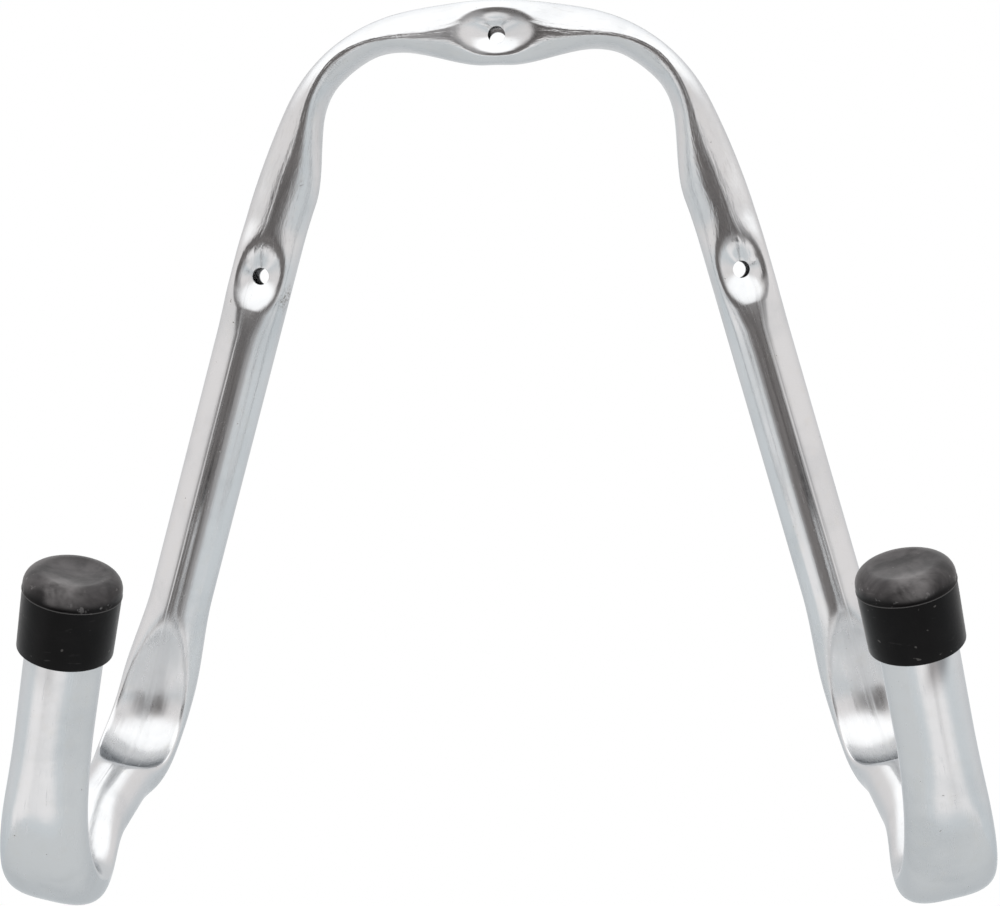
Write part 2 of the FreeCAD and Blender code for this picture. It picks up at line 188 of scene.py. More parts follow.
def right_half():
    """Runs from the middle of the crown to the right-hand end of the tube."""
    place = Vector((0.0, -TUBE_RADIUS, HOLE_DROP)), Vector((1.0, 0.0, 0.0)), Vector((0.0, -1.0, 0.0))
    shoulder_turn = math.pi / 2 - LEG_LEAN - CROWN_TURN - CORNER_TURN
    found = []
    arcs = ((CROWN_RADIUS, CROWN_TURN), (CORNER_RADIUS, CORNER_TURN), (SHOULDER_RADIUS, shoulder_turn))
    for radius, turn in arcs:
        along = place[1]
        found.append(Run(*place, radius * turn, turn, Vector((along.z, 0.0, -along.x))))
        place = found[-1].end()
    found.append(Run(*place, LEG_LENGTH))
    place = found[-1].end()
    found.append(Run(*place, HOOK_RADIUS * HOOK_TURN, HOOK_TURN, place[2]))
    place = found[-1].end()
    arm = Vector((-math.sin(ARM_LEAN_IN) * math.cos(ARM_LEAN_OUT), -math.sin(ARM_LEAN_OUT),
                  math.cos(ARM_LEAN_IN) * math.cos(ARM_LEAN_OUT)))
    upward = (arm - place[1] * arm.dot(place[1])).normalized()
    twist = math.copysign(place[2].angle(upward), place[2].cross(upward).dot(place[1]))
    found.append(Run(*place, FLOOR_LENGTH, twist=twist))
    place = found[-1].end()
    turn = place[1].angle(arm)
    found.append(Run(*place, ARM_RADIUS * turn, turn, upward))
    found.append(Run(*found[-1].end(), ARM_LENGTH))
    return found


RUNS = right_half()
MARKS = np.cumsum([run.length for run in RUNS])
CROWN_END, CORNER_END, SHOULDER_END, LEG_END, BEND_END, FLOOR_END, ARM_START, TUBE_END = MARKS


def travel(distance):
    """Centre, direction along and front direction at a distance from the middle of the crown."""
    index = min(int(np.searchsorted(MARKS, distance)), len(RUNS) - 1)
    return RUNS[index].at(distance - (MARKS[index] - RUNS[index].length))


print("Half of the tube, mm:", round(TUBE_END / MM, 1))

# %% [markdown]
# Tight bends crush a thin tube. In the upper corners its inner side is flattened; in the hook's two
# bends it grows wider, and its inner side folds into a dish. Each press is described as how far it
# acts at a distance along the tube, or as the height of the tool's face over the centreline.

# %% Presses along the tube
CORNER_WIDTH = 25.0 * MM
CORNER_THICKNESS = 9.4 * MM
INNER_LEAST = 2.6 * MM
CORNER_FLATNESS = 2.2
BEND_WIDTH = 24.4 * MM
ARM_WIDTH = 26.2 * MM
ARM_FLATTENING = 5.5 * MM
BEND_SHIFT = 0.4 * MM
ARM_SHIFT = 1.7 * MM
HOOK_FLATTENING = 1.5 * MM
HOOK_FLATNESS = 3.2
SIDE_HOLE = SHOULDER_END + 12.1 * MM
DIMPLE_LENGTH = 19.0 * MM
DIMPLE_WIDTH = 10.8 * MM
DIMPLE_DEPTH = 5.2 * MM
DIMPLE_CREASE = 3.4 * MM
DIMPLE_CONE = 1.35
DIMPLE_FLATNESS = 3.2
BEND_DISH_DEPTH = 10.8 * MM
BEND_DISH_HOLLOW = 0.032 / MM
ARM_DISH_DEPTH = 10.2 * MM
ARM_DISH_HOLLOW = 0.035 / MM
DISH_CREASE = 2.6 * MM
BEND_DISH_TOP = LEG_END - 24.0 * MM
BEND_DISH_MIDDLE = LEG_END + 21.0 * MM
BEND_DISH_LIP = BEND_END + 20.0 * MM
ARM_DISH_START = FLOOR_END + 1.0 * MM
ARM_DISH_MIDDLE = (FLOOR_END + ARM_START) / 2 + 8.0 * MM
ARM_DISH_END = ARM_START + 16.0 * MM
BEND_DISH = (BEND_DISH_TOP, BEND_DISH_MIDDLE, BEND_DISH_LIP, BEND_DISH_DEPTH, BEND_DISH_HOLLOW)
ARM_DISH = (ARM_DISH_START, ARM_DISH_MIDDLE, ARM_DISH_END, ARM_DISH_DEPTH, ARM_DISH_HOLLOW)
HOOK_START = LEG_END - 34.0 * MM


def window(distance, start, full, ease, end):
    """Rises from 0 at start to 1 at full, and falls from 1 at ease to 0 at end."""
    return ramp(distance, start, full) * (1.0 - ramp(distance, ease, end))


def corner_press(distance):
    """How far the upper corner flattens the tube."""
    return window(distance, 4.0 * MM, CROWN_END + 15.0 * MM,
                  CORNER_END - 15.0 * MM, CORNER_END + 25.0 * MM)


def outer_press(distance):
    """How far the outer side of the upper corner is flattened."""
    return window(distance, CROWN_END - 6.0 * MM, CROWN_END + 24.0 * MM,
                  CORNER_END - 20.0 * MM, CORNER_END + 14.0 * MM)


def bend_press(distance):
    """How far the bend that leaves the wall widens the tube."""
    return window(distance, HOOK_START, LEG_END, BEND_END - 12.0 * MM, BEND_END + 16.0 * MM)


def arm_press(distance):
    """How far the bend up to the arm widens the tube."""
    return window(distance, FLOOR_END - 22.0 * MM, FLOOR_END + 18.0 * MM,
                  ARM_START - 42.0 * MM, ARM_START + 20.0 * MM)


def soft_min(first, second, blend):
    """The lower of two heights, with the crease between them rounded."""
    overlap = np.maximum(blend - np.abs(first - second), 0.0) / blend
    return np.minimum(first, second) - overlap * overlap * blend / 4.0


def dimple_press(distance):
    """How far the punch of a dimple squares the tube round it."""
    nearest = min(distance, abs(distance - SIDE_HOLE))
    return 1.0 - ramp(nearest, 5.0 * MM, 18.0 * MM)


def dimple(distance, across):
    """Height of a screw dimple's floor."""
    nearest = min(distance, abs(distance - SIDE_HOLE))
    if distance < SIDE_HOLE / 2:
        across = across - HOLE_DROP
    half_width = DIMPLE_WIDTH / 2
    floor = TUBE_RADIUS - DIMPLE_DEPTH
    rim = math.sqrt(TUBE_RADIUS ** 2 - half_width ** 2)
    rise = np.hypot((rim - floor) * across / half_width, DIMPLE_DEPTH * nearest / (DIMPLE_LENGTH / 2))
    return floor + DIMPLE_DEPTH * (rise / DIMPLE_DEPTH) ** DIMPLE_CONE


def dish(distance, across, start, middle, end, depth, hollow):
    """Height of the floor of a dish that a tight bend leaves on its inner side."""
    reach = start if distance < middle else end
    share = (distance - middle) / (reach - middle)
    return TUBE_RADIUS - depth + depth * share * share + hollow * across * across


# %% [markdown]
# One ring of the tube at a time: a circle whose four reaches are changed by the presses, then
# pushed down by the dimple or dish on its front. Flat sides are superellipses, whose power says
# how square their corners are.

# %% One ring of the tube
def rounded(turn, power):
    """Cosine of a superellipse."""
    return np.sign(turn) * np.abs(turn) ** (2.0 / power)


def ring(distance, angles):
    """Points of the outer skin round the tube, at angles from its front towards the middle."""
    centre, along, front = travel(distance)
    side = along.cross(front)
    corner, bend, arm = corner_press(distance), bend_press(distance), arm_press(distance)
    hook = max(bend, arm)
    toward_front, toward_inner = np.cos(angles), np.sin(angles)
    is_back, is_inner = toward_front < 0, toward_inner > 0
    front_reach = TUBE_RADIUS + (CORNER_WIDTH / 2 - TUBE_RADIUS) * corner
    back_reach = front_reach - HOOK_FLATTENING * hook
    outer_reach = TUBE_RADIUS + (CORNER_THICKNESS / 2 - TUBE_RADIUS) * outer_press(distance)
    thickness = 2 * TUBE_RADIUS + (CORNER_THICKNESS - 2 * TUBE_RADIUS) * corner
    inner_reach = max(thickness - outer_reach, INNER_LEAST)
    widening = max((BEND_WIDTH / 2 - TUBE_RADIUS) * bend, (ARM_WIDTH / 2 - TUBE_RADIUS) * arm)
    front_power = 2.0 + (DIMPLE_FLATNESS - 2.0) * dimple_press(distance)
    power = np.maximum(np.where(is_back, 2.0 + (HOOK_FLATNESS - 2.0) * hook, front_power),
                       np.where(is_inner, 2.0 + (CORNER_FLATNESS - 2.0) * corner, 2.0))
    height = np.where(is_back, back_reach, front_reach - ARM_FLATTENING * arm) * rounded(toward_front, power)
    across = (np.where(is_inner, inner_reach, outer_reach) + widening) * rounded(toward_inner, power)
    if distance < HOOK_START:
        pressed = dimple(distance, across)
        crease = DIMPLE_CREASE
    else:
        pressed = np.minimum(dish(distance, across, *BEND_DISH), dish(distance, across, *ARM_DISH))
        crease = DISH_CREASE
    height = np.where(is_back, height, soft_min(height, pressed, crease))
    height = height + back_reach - TUBE_RADIUS
    across = across + outer_reach - TUBE_RADIUS + ARM_SHIFT * arm - BEND_SHIFT * bend
    return np.array(centre) + np.outer(height, front) + np.outer(across, side)


# %% [markdown]
# Welded tube starts as a strip. A grid is the strip: its rows run along the tube and its columns
# round it, so the grid's own UV map stays true to the metal however it is bent, and the drawn
# lines and the weld can follow it later. Rows are close where the tube is pressed.

# %% Roll the strip into the bent, pressed tube
ROUND = 96
FINE_ROW = 0.8 * MM
PRESSED_ROW = 1.6 * MM
PLAIN_ROW = 8.0 * MM
GIRTH = 2 * math.pi * TUBE_RADIUS
WELD_ANGLE = math.radians(-7.0)


def spread(start, end, step):
    """Distances from start up to, but not including, end."""
    return np.linspace(start, end, max(int(round((end - start) / step)), 1), endpoint=False)


def row_distances():
    """Distances of the rings of the right half."""
    near = DIMPLE_LENGTH / 2 + 2 * MM
    return np.concatenate([
        spread(0.0, near, FINE_ROW),
        spread(near, SIDE_HOLE - near, PRESSED_ROW),
        spread(SIDE_HOLE - near, SIDE_HOLE + near, FINE_ROW),
        spread(SIDE_HOLE + near, HOOK_START, PLAIN_ROW),
        spread(HOOK_START, ARM_START + 34.0 * MM, PRESSED_ROW),
        spread(ARM_START + 34.0 * MM, TUBE_END, PLAIN_ROW),
        [TUBE_END],
    ])


def rolled_tube():
    """The tube's outer skin, from the left end to the right end."""
    half = row_distances()
    rows = np.concatenate([-half[:0:-1], half])
    bpy.ops.mesh.primitive_grid_add(x_subdivisions=ROUND, y_subdivisions=len(rows) - 1, size=1.0,
                                    calc_uvs=True)
    tube = newest("tube")
    count = len(tube.data.vertices)
    flat = np.empty(count * 3)
    tube.data.vertices.foreach_get("co", flat)
    flat = flat.reshape(-1, 3)
    column = np.rint((flat[:, 0] + 0.5) * ROUND).astype(int)
    row = np.rint((flat[:, 1] + 0.5) * (len(rows) - 1)).astype(int)
    angles = WELD_ANGLE + 2 * np.pi * np.arange(ROUND + 1) / ROUND
    skins = {}
    placed = np.empty_like(flat)
    for index, distance in enumerate(rows):
        if abs(distance) not in skins:
            skins[abs(distance)] = ring(abs(distance), angles)
        here = row == index
        points = skins[abs(distance)][column[here]]
        placed[here] = points * ((-1.0 if distance < 0 else 1.0), 1.0, 1.0)
    tube.data.vertices.foreach_set("co", placed.ravel())
    loops = np.empty(len(tube.data.loops) * 2)
    tube.data.uv_layers.active.data.foreach_get("uv", loops)
    loops = loops.reshape(-1, 2)
    loops[:, 1] = np.interp(loops[:, 1] * (len(rows) - 1), np.arange(len(rows)), rows) / GIRTH
    tube.data.uv_layers.active.data.foreach_set("uv", loops.ravel())
    tube.data.update()
    edit(tube, "VERT", where=lambda vertex: True)
    bpy.ops.mesh.remove_doubles(threshold=0.001 * MM)
    bpy.ops.mesh.normals_make_consistent(inside=False)
    finish_edit()
    return tube


tube = rolled_tube()
print("Strip faces:", len(tube.data.polygons))

# %% [markdown]
# The strip becomes a tube wall with Solidify. One drill then makes the three screw holes, each
# straight through the front skin and the back skin together, at right angles to the wall.

# %% Give the tube its wall and drill the screw holes
HOLE_DIAMETER = 5.5 * MM
DRILL_SIDES = 48

modify(tube, "SOLIDIFY", thickness=WALL, offset=-1.0, use_even_offset=True, use_rim=True)


def drill(at, direction, length):
    """A cylinder through a hole, as a cutter."""
    turned = direction.to_track_quat("Z", "Y").to_euler()
    bpy.ops.mesh.primitive_cylinder_add(vertices=DRILL_SIDES, radius=HOLE_DIAMETER / 2, depth=length,
                                        location=at, rotation=turned)
    cutter = newest("drill")
    bpy.ops.object.transform_apply(location=True, rotation=True, scale=True)
    return cutter


def bore(piece, at, direction, length):
    """Drills one hole through a piece."""
    cutter = drill(at, direction, length)
    modify(piece, "BOOLEAN", operation="DIFFERENCE", solver="EXACT", object=cutter)
    only(cutter)
    bpy.ops.object.delete()


hole_centres = []
for side, distance in ((0, 0.0), (-1, SIDE_HOLE), (1, SIDE_HOLE)):
    centre, _, front = travel(distance)
    mirror = Vector((-1.0 if side < 0 else 1.0, 1.0, 1.0))
    if side == 0:
        centre.z -= HOLE_DROP
    hole_centres.append(centre * mirror)
    bore(tube, centre * mirror, front * mirror, 3 * TUBE_RADIUS)
smooth(tube, 40)
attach(tube, "root")
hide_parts("tube_frame")
print("Tube faces:", len(tube.data.polygons))
print("Holes at, mm:", [[round(number / MM, 1) for number in hole] for hole in hole_centres])

# %% [markdown]
# A rubber cap is moulded in two halves across its axis: the line where the mould closed runs
# round the shoulder, under the shallow dished top. The cap is turned from a cylinder here, with
# each height given from the lower rim.

# %% Rubber caps
CAP_RADIUS = 12.2 * MM
CAP_SWELL = 0.25 * MM
CAP_SKIRT = 16.7 * MM
CAP_OVERLAP = 18.3 * MM
CAP_DOME = 5.6 * MM
CAP_SHOULDER = 4.2 * MM
CAP_HOLLOW = 0.6 * MM
CAP_CLEARANCE = 0.05 * MM
CAP_RIM = 0.5 * MM
CAP_SIDES = 96


def arc(middle, radius, start, end, steps):
    """Points on an arc of the profile, as radius and height, with angles in degrees."""
    turns = np.radians(np.linspace(start, end, steps))
    return [(middle[0] + radius * math.cos(turn), middle[1] + radius * math.sin(turn)) for turn in turns]


def cap_profile():
    """Half section of a cap, from the middle of the top to the inner face that sits on the tube's end."""
    bore_radius = TUBE_RADIUS + CAP_CLEARANCE
    base = -CAP_OVERLAP
    line = base + CAP_SKIRT
    top = line + CAP_DOME
    seam = CAP_RADIUS + CAP_SWELL
    reach = seam - CAP_SHOULDER
    flash = 0.12 * MM
    points = [(reach * share, top - CAP_HOLLOW * (1 - share * share)) for share in np.linspace(0.0, 0.94, 9)]
    points += arc((reach, top - CAP_SHOULDER), CAP_SHOULDER, 90, 0, 9)
    points += [(seam, line + 0.3 * MM), (seam + flash, line + 0.12 * MM), (seam + flash, line - 0.12 * MM),
               (seam - 0.03 * MM, line - 0.3 * MM)]
    points += [(CAP_RADIUS + CAP_SWELL * share, base + CAP_SKIRT * share) for share in (0.8, 0.5, 0.2)]
    points += arc((CAP_RADIUS - CAP_RIM, base + CAP_RIM), CAP_RIM, 0, -90, 5)
    points += arc((bore_radius + CAP_RIM / 2, base + CAP_RIM / 2), CAP_RIM / 2, -90, -180, 4)
    points += [(bore_radius, base / 2), (bore_radius, 0.0), (bore_radius / 2, 0.0), (0.0, 0.0)]
    return points


def rubber_cap(name, mirror):
    """Turns a cap and pushes it over one end of the tube."""
    profile = cap_profile()
    bpy.ops.mesh.primitive_circle_add(vertices=len(profile), radius=CAP_RADIUS)
    cap = newest(name)
    for vertex, (reach, height) in zip(cap.data.vertices, profile):
        vertex.co = (reach, 0.0, height)
    first, last = 0, len(profile) - 1
    edit(cap, "EDGE", where=lambda edge: set(edge.vertices) == {first, last})
    bpy.ops.mesh.delete(type="EDGE")
    finish_edit()
    modify(cap, "SCREW", angle=2 * math.pi, steps=CAP_SIDES, render_steps=CAP_SIDES, use_merge_vertices=True,
           merge_threshold=0.01 * MM, axis="Z")
    edit(cap, "VERT", where=lambda vertex: True)
    bpy.ops.mesh.remove_doubles(threshold=0.005 * MM)
    bpy.ops.mesh.normals_make_consistent(inside=False)
    finish_edit()
    centre, along, _ = travel(TUBE_END)
    cap.location = centre * mirror
    cap.rotation_euler = (along * mirror).to_track_quat("Z", "Y").to_euler()
    only(cap)
    bpy.ops.object.transform_apply(location=True, rotation=True, scale=True)
    smooth(cap, 35)
    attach(cap, "root")
    return cap


left_cap = rubber_cap("left_end_cap", Vector((-1.0, 1.0, 1.0)))
right_cap = rubber_cap("right_end_cap", Vector((1.0, 1.0, 1.0)))
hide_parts("left_cap")
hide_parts("right_cap")
print("Cap faces:", len(left_cap.data.polygons))

# %% [markdown]
# Materials are worked out with ordinary sums. A Value stands for one output of a shader node, so
# that adding or multiplying two of them adds a Math node, and one method makes every other node.

# %% Shader sums
class Value:
    """One output of a shader node, on which sums can be done."""

    def __init__(self, finish, socket):
        self.finish, self.socket = finish, socket

    def math(self, operation, first, second=0.0):
        """A Math node between two values or numbers."""
        return self.finish.node("Math", {"operation": operation}, {0: first, 1: second})

    def __add__(self, other):
        return self.math("ADD", self, other)

    def __radd__(self, other):
        return self.math("ADD", other, self)

    def __sub__(self, other):
        return self.math("SUBTRACT", self, other)

    def __rsub__(self, other):
        return self.math("SUBTRACT", other, self)

    def __mul__(self, other):
        return self.math("MULTIPLY", self, other)

    def __rmul__(self, other):
        return self.math("MULTIPLY", other, self)

    def size(self):
        """The value without its sign."""
        return self.math("ABSOLUTE", self)

    def above(self, low, high):
        """Rises smoothly from 0 at low to 1 at high."""
        return self.finish.node("MapRange", {"interpolation_type": "SMOOTHSTEP"},
                                {"Value": self, "From Min": low, "From Max": high})


class Finish:
    """A material that is being put together."""

    def __init__(self, name, metallic, **shader):
        self.material = bpy.data.materials.new(name)
        self.material.use_nodes = True
        self.tree = self.material.node_tree
        self.shader = self.tree.nodes["Principled BSDF"]
        self.shader.inputs["Metallic"].default_value = metallic
        for socket, number in shader.items():
            self.shader.inputs[socket.replace("_", " ")].default_value = number

    def node(self, kind, settings=None, inputs=None, output=0):
        """Adds a node, with its settings first and then the values or links of its sockets."""
        made = self.tree.nodes.new("ShaderNode" + kind)
        for key, setting in (settings or {}).items():
            setattr(made, key, setting)
        for key, value in (inputs or {}).items():
            if isinstance(value, Value):
                self.tree.links.new(value.socket, made.inputs[key])
            else:
                made.inputs[key].default_value = value
        return Value(self, made.outputs[output])

    def place(self, kind="Object"):
        """Object coordinates or the piece's own UV map."""
        return self.node("TexCoord", output=kind)

    def scaled(self, vector, scale):
        """Stretches a pattern's coordinates."""
        return self.node("Mapping", inputs={"Vector": vector, "Scale": scale})

    def clouds(self, vector, scale, detail=2.0, roughness=0.5, distortion=0.0):
        """Noise between 0 and 1."""
        return self.node("TexNoise", inputs={"Vector": vector, "Scale": scale, "Detail": detail,
                                             "Roughness": roughness, "Distortion": distortion})

    def axis(self, vector, letter):
        """One number of a vector."""
        return self.node("SeparateXYZ", inputs={0: vector}, output="XYZ".index(letter))

    def near(self, vector, point, reach):
        """1 at a point, falling to 0 at a distance from it."""
        away = self.node("VectorMath", {"operation": "DISTANCE"}, {0: vector, 1: point}, output="Value")
        return 1 - away.above(reach * 0.35, reach)

    def blend(self, share, first, second):
        """Mixes two colours."""
        mix = self.tree.nodes.new("ShaderNodeMix")
        mix.data_type = "RGBA"
        for key, value in (("Factor", share), ("A", first), ("B", second)):
            socket = [item for item in mix.inputs if item.name == key and item.enabled][0]
            if isinstance(value, Value):
                self.tree.links.new(value.socket, socket)
            else:
                socket.default_value = value
        return Value(self, [item for item in mix.outputs if item.enabled][0])

    def set(self, socket, value):
        """Feeds one input of the shader."""
        self.tree.links.new(value.socket, self.shader.inputs[socket])

    def bumps(self, *heights):
        """Stacks bump maps, each given as a height and its size in metres."""
        normal = None
        for height, distance in heights:
            inputs = {"Height": height, "Distance": distance, "Strength": 1.0}
            if normal is not None:
                inputs["Normal"] = normal
            normal = self.node("Bump", inputs=inputs)
        self.set("Normal", normal)


def rgb(red, green, blue):
    """A linear colour."""
    return (red, green, blue, 1.0)


def cover(piece, finish):
    """Gives a piece its material."""
    piece.data.materials.clear()
    piece.data.materials.append(finish.material)


# %% [markdown]
# Some marks belong to one place, and these places come from the tube's own centreline. A place with
# no minus signs stands for both halves of the hook. Pits are given from the left screw hole, in mm.

# %% Places of single marks
TOWARDS_VIEWER = Vector((0.0, -1.0, 0.0))
TRAVEL_MM = MM / GIRTH
PRESS_MARK = 30.0 * TRAVEL_MM
DIRT_PLACE = hole_centres[1] + Vector((7.7, -4.0, -7.2)) * MM
DIRT_REACH = 6.0 * MM
PIT_OFFSETS = (((14.0, -9.0, 29.0), 1.6), ((11.4, -9.0, 12.4), 1.5),
               ((44.0, -8.0, 73.0), 1.8), ((2.0, -9.0, -62.0), 1.3))
PITS = [(hole_centres[1] + Vector(offset) * MM, reach * MM) for offset, reach in PIT_OFFSETS]


def unsigned(point):
    """A place with no minus signs."""
    return Vector([abs(number) for number in point])


def to_viewer(along):
    """The direction across the tube that points most towards the viewer."""
    return (TOWARDS_VIEWER - along * along.dot(TOWARDS_VIEWER)).normalized()


def arm_place(from_end, outward):
    """A place on the front of an arm."""
    centre, along, _ = travel(TUBE_END - from_end)
    viewer = to_viewer(along)
    side = along.cross(viewer).normalized()
    if side.x * centre.x < 0:
        side = -side
    return unsigned(centre + viewer * TUBE_RADIUS * 0.95 + side * outward)


def shoulder_place(up, out):
    """A place on the front of a cap's shoulder."""
    centre, along, _ = travel(TUBE_END)
    return unsigned(centre + along * up + to_viewer(along) * out)


# Where a painted reflection of the cap darkens the front of each arm, just under the cap.
CAP_REFLECTION_PLACE = arm_place(24.0 * MM, 1.6 * MM)
# A rubbed patch on the front of each cap's shoulder, with a painted highlight on it.
RUBBED_HIGHLIGHT_PLACE = shoulder_place(1.6 * MM, 9.5 * MM)
RUBBED_HIGHLIGHT_REACH = 7.0 * MM
DISH_PLACE = unsigned(travel(BEND_DISH_MIDDLE - 18.0 * MM)[0])
DISH_REACH = 40.0 * MM
print("Shade under the caps, mm:", [round(number / MM, 1) for number in CAP_REFLECTION_PLACE])

# %% [markdown]
# Bright zinc plating is a soft mirror, so its look comes mostly from the studio round it. Its own
# patterns are fine lines along the tube from drawing, faint clouds from the bath, flecks, scratches,
# pits and a weld line. The UV map runs round the tube and along it.

# %% Zinc plating: its patterns
zinc = Finish("zinc_plated_steel", 1.0)
zinc.shader.inputs["Specular Tint"].default_value = rgb(0.73, 0.745, 0.76)
place = zinc.place()
folded = zinc.node("VectorMath", {"operation": "ABSOLUTE"}, {0: place})
wrap = zinc.place("UV")
travelled = zinc.axis(wrap, "Y").size()
lines = zinc.clouds(zinc.scaled(wrap, (150.0, 2.2, 1.0)), 1.0, 3.0, 0.6)
broad_lines = zinc.clouds(zinc.scaled(wrap, (34.0, 0.7, 1.0)), 1.0, 2.0, 0.5)
dull = zinc.clouds(place, 38.0, 4.0, 0.6, 0.3).above(0.45, 0.72)
fine_clouds = zinc.clouds(place, 260.0, 3.0, 0.6)
grain = zinc.clouds(zinc.scaled(wrap, (110.0, 6.0, 1.0)), 1.0, 3.0, 0.7)
flecks = grain.above(0.56, 0.72)
scratches = zinc.clouds(zinc.scaled(wrap, (16.0, 130.0, 1.0)), 1.0, 2.0, 0.6).above(0.62, 0.72)
pitted = zinc.clouds(place, 900.0, 1.0, 0.5).above(0.735, 0.80) * fine_clouds.above(0.52, 0.62)
weld = (zinc.axis(wrap, "X") - 0.5).size().above(0.487, 0.498) * (broad_lines.above(0.3, 0.6) * 0.6 + 0.4)
print("Zinc nodes for the patterns:", len(zinc.tree.nodes))

# %% [markdown]
# Other marks keep to their own zones: tool marks over the crown, corners and shoulders, lines that
# the tool dragged in the dishes, a faint press mark where each corner starts, and dirt beside the
# left screw hole. Under each cap a painted reflection of the cap darkens the colour, more on the right.

# %% Zinc plating: marks in their zones
def spots(finish, place, *marks):
    """1 inside each small mark, which is a place and a reach."""
    total = finish.near(place, *marks[0])
    for point, reach in marks[1:]:
        total = total + finish.near(place, point, reach)
    return total


dirt_noise = zinc.clouds(place, 900.0, 5.0, 0.85, 0.6)
dirt = zinc.near(place, DIRT_PLACE, DIRT_REACH) * dirt_noise.above(0.47, 0.62)
dirt = dirt + spots(zinc, place, *PITS) * dirt_noise.above(0.52, 0.60) * 0.7
dragged = zinc.near(folded, DISH_PLACE, DISH_REACH)
drag = zinc.clouds(zinc.scaled(wrap, (36.0, 2.6, 1.0)), 1.0, 1.0, 0.5)
worked = travelled.above(7.0 * TRAVEL_MM, 16.0 * TRAVEL_MM)
worked = worked * (1 - travelled.above(95.0 * TRAVEL_MM, 135.0 * TRAVEL_MM))
tooling = zinc.clouds(zinc.scaled(wrap, (54.0, 11.0, 1.0)), 1.0, 4.0, 0.65, 0.4)
press_mark = 1 - (travelled - PRESS_MARK).size().above(0.3 * TRAVEL_MM, 1.0 * TRAVEL_MM)
# Painted reflection of the cap: a dark streak on the front of each arm, just under the cap.
beside = 1 - (zinc.axis(folded, "X") - CAP_REFLECTION_PLACE.x).size().above(0.8 * MM, 4.2 * MM)
in_front = (-1.0 * zinc.axis(place, "Y")).above(CAP_REFLECTION_PLACE.y - 4.0 * MM, CAP_REFLECTION_PLACE.y - 1.0 * MM)
near_end = 1 - (TUBE_END / GIRTH - travelled).above(20.0 * TRAVEL_MM, 30.0 * TRAVEL_MM)
right_side = zinc.axis(place, "X").above(-1.0 * MM, 1.0 * MM) * 0.8 + 0.2
cap_reflection = beside * in_front * near_end * right_side
print("Zinc nodes with the marks:", len(zinc.tree.nodes))

# %% [markdown]
# The patterns and marks now change the plating's colour a little, its roughness more, and its
# surface by hundredths of a millimetre, from the broadest waves to the finest grain.

# %% Zinc plating: colour, roughness and bumps
tint = zinc.blend(dull, rgb(0.62, 0.625, 0.632), rgb(0.56, 0.57, 0.58))
tint = zinc.blend(fine_clouds.above(0.5, 0.8) * 0.35, tint, rgb(0.60, 0.59, 0.565))
# Painted reflection of the cap, darker under the right-hand cap.
tint = zinc.blend(cap_reflection * 0.85, tint, rgb(0.22, 0.21, 0.212))
tint = zinc.blend(worked * (tooling.above(0.55, 0.68) * 0.12 + 0.07), tint, rgb(0.30, 0.29, 0.285))
zinc.set("Base Color", zinc.blend(pitted * 0.6 + dirt * 0.9, tint, rgb(0.16, 0.14, 0.12)))
rough = 0.17 + dull * 0.06 + (broad_lines - 0.5) * 0.08 + (fine_clouds - 0.5) * 0.05 + dragged * 0.11
rough = rough + flecks * 0.13 + scratches * 0.06 - worked * 0.05
zinc.set("Roughness", rough + weld * 0.08 + pitted * 0.25 + dirt * 0.4)
waves = zinc.clouds(place, 45.0, 1.0, 0.5)
ripples = zinc.clouds(place, 190.0, 2.0, 0.5)
zinc.bumps((waves, 0.12 * MM), (ripples, 0.04 * MM), (drag * dragged, 0.10 * MM),
           (tooling * worked, 0.13 * MM), (lines, 0.013 * MM), (broad_lines, 0.03 * MM),
           (fine_clouds, 0.008 * MM), (1 - pitted, 0.03 * MM), (weld, 0.06 * MM),
           (1 - press_mark, 0.05 * MM), (grain, 0.006 * MM))
cover(tube, zinc)
print("Zinc nodes in all:", len(zinc.tree.nodes))

# %% [markdown]
# The caps are plain black rubber, matt, with a fine moulded grain and a line where the mould
# closed. Dust lies on the top, and the shoulder has small knocks and, on the viewer's side, a patch
# rubbed pale with a painted highlight on it. One sum gives the height up the axis of either cap.

# %% Black rubber: its patterns
def up_the_cap(finish, place):
    """Distance along a cap's axis from the end of the tube, the same sum for both caps."""
    centre, along, _ = travel(TUBE_END)
    ahead = finish.axis(place, "X").size() * along.x + finish.axis(place, "Y") * along.y
    return ahead + finish.axis(place, "Z") * along.z - centre.dot(along)


rubber = Finish("black_rubber", 0.0, Specular_IOR_Level=0.09)
on_cap = rubber.place()
either_cap = rubber.node("VectorMath", {"operation": "ABSOLUTE"}, {0: on_cap})
height = up_the_cap(rubber, on_cap)
moulded = rubber.clouds(on_cap, 1400.0, 3.0, 0.6)
patches = rubber.clouds(on_cap, 90.0, 4.0, 0.6, 0.4)
speck = rubber.clouds(on_cap, 480.0, 1.0, 0.4).above(0.735, 0.765)
scuff = rubber.clouds(rubber.scaled(on_cap, (160.0, 160.0, 900.0)), 1.0, 2.0, 0.5).above(0.66, 0.76)
mould_line = 1 - (height - (CAP_SKIRT - CAP_OVERLAP)).size().above(0.06 * MM, 0.20 * MM)
shoulder = 1 - (height - 0.4 * MM).size().above(0.6 * MM, 2.6 * MM)
knocks = rubber.clouds(on_cap, 620.0, 2.0, 0.6).above(0.60, 0.68) * shoulder * patches.above(0.42, 0.60)
dust = height.above(-0.8 * MM, 1.4 * MM) * (patches.above(0.30, 0.70) * 0.75 + 0.25)
# Rubbed patch on the viewer's side of the shoulder, with a painted highlight on it.
rubbed_highlight = rubber.near(either_cap, RUBBED_HIGHLIGHT_PLACE, RUBBED_HIGHLIGHT_REACH) * patches.above(0.30, 0.60)
rubbed_highlight = rubbed_highlight * height.above(-1.2 * MM, 0.4 * MM)
print("Rubber nodes for the patterns:", len(rubber.tree.nodes))

# %% [markdown]
# The rubber's colour is built up from the blackest layer to the palest, and both caps wear it.

